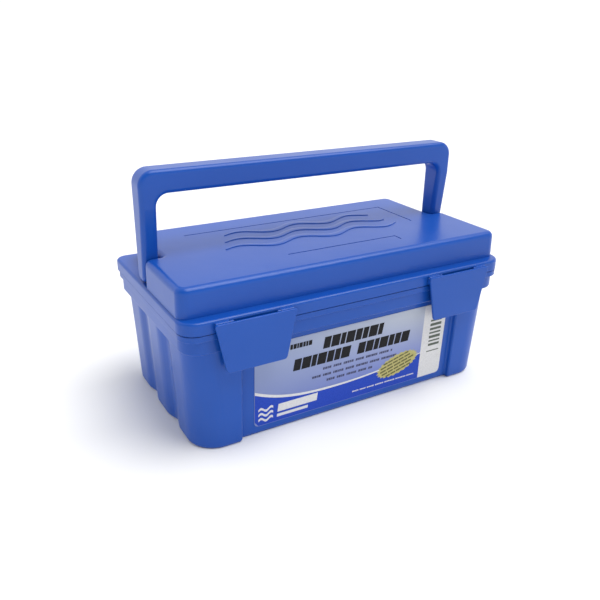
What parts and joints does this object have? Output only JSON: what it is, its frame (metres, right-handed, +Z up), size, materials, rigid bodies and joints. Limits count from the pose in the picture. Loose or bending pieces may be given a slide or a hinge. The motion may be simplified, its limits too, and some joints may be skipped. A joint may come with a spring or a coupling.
{
  "type": "water test kit",
  "caption": "Carrying case with a raised hinged lid, fold-back bail handle, two snap latches and a front label, holding a rack of dropper bottles, test cells, tubes and papers.",
  "frame": {"origin": "centre of the underside, on the floor", "axes": "+X along the case to the right seen from the latches, -Y to the front with the latches, +Z up"},
  "size_m": [0.3, 0.173, 0.2004],
  "materials": {
    "case_blue": "moulded polypropylene, semi-gloss",
    "pin_blue": "moulded, semi-gloss",
    "steel_pin": "drawn wire",
    "label_print": "printed film with a gloss overlaminate",
    "tray_white": "moulded polystyrene, satin",
    "jar_white": "blow-moulded, satin",
    "bottle_white": "blow-moulded polyethylene, satin",
    "cap_white": "moulded, ribbed",
    "cap_red": "moulded, ribbed",
    "cap_blue": "moulded, ribbed",
    "clear_plastic": "clear acrylic, polished",
    "strip_red": "printed colour standards, gloss",
    "strip_yellow": "printed colour standards, gloss",
    "brush_bristle": "nylon bristles on wire",
    "paper_booklet": "coated paper",
    "card_laminate": "laminated card",
    "card_blue": "laminated card",
    "brass_rivet": "pressed"
  },
  "bodies": {
    "tub": {"tub": "case_blue", "hinge_pin_left": "steel_pin", "hinge_pin_right": "steel_pin", "front_label": "label_print", "insert_tray": "tray_white", "powder_jar": "jar_white", "powder_jar_cap": "cap_white", "mixing_bottle": "clear_plastic", "mixing_bottle_cap": "cap_white", "sample_tube": "clear_plastic", "sample_tube_cap": "cap_blue", "turbidity_tube": "clear_plastic", "comparator_body": "clear_plastic", "comparator_cap": "cap_blue", "colour_strip_left": "strip_red", "colour_strip_right": "strip_yellow", "stirring_rod": "clear_plastic", "powder_dipper": "cap_blue", "tube_brush": "brush_bristle", "instruction_booklet": "paper_booklet", "instruction_card": "card_laminate", "chart_disc_back": "card_laminate", "chart_disc_front": "card_blue", "chart_rivet": "brass_rivet", "reagent_bottle_1": "bottle_white", "reagent_bottle_2": "bottle_white", "reagent_bottle_3": "bottle_white", "reagent_bottle_4": "bottle_white", "reagent_bottle_5": "bottle_white", "reagent_bottle_6": "bottle_white", "drop_bottle_1": "bottle_white", "drop_bottle_2": "bottle_white", "drop_bottle_3": "bottle_white", "drop_bottle_4": "bottle_white", "drop_bottle_5": "bottle_white", "drop_bottle_6": "bottle_white", "reagent_cap_1": "cap_red", "reagent_cap_2": "cap_red", "reagent_cap_3": "cap_red", "reagent_cap_4": "cap_red", "reagent_cap_5": "cap_red", "reagent_cap_6": "cap_red", "drop_cap_1": "cap_blue", "drop_cap_2": "cap_blue", "drop_cap_3": "cap_blue", "drop_cap_4": "cap_blue", "drop_cap_5": "cap_blue", "drop_cap_6": "cap_blue"},
    "lid": {"lid": "case_blue", "handle_pin_left": "pin_blue", "handle_pin_right": "pin_blue", "latch_pins_left": "steel_pin", "latch_pins_right": "steel_pin"},
    "handle": {"handle": "case_blue"},
    "latch_left": {"latch_left": "case_blue"},
    "latch_right": {"latch_right": "case_blue"}
  },
  "joints": [
    {"name": "lid_hinge", "type": "hinge", "parent": "tub", "child": "lid", "pos_m": [0, 0.0843, 0.1006], "axis": [-1, 0, 0], "range_deg": [0, 105]},
    {"name": "handle_fold", "type": "hinge", "parent": "lid", "child": "handle", "pos_m": [0, 0.0103, 0.119], "axis": [-1, 0, 0], "range_deg": [0, 90]},
    {"name": "latch_left_hinge", "type": "hinge", "parent": "lid", "child": "latch_left", "pos_m": [-0.0953, -0.0831, 0.1079], "axis": [-1, 0, 0], "range_deg": [0, 90]},
    {"name": "latch_right_hinge", "type": "hinge", "parent": "lid", "child": "latch_right", "pos_m": [0.0953, -0.0831, 0.1079], "axis": [-1, 0, 0], "range_deg": [0, 90]}
  ]
}
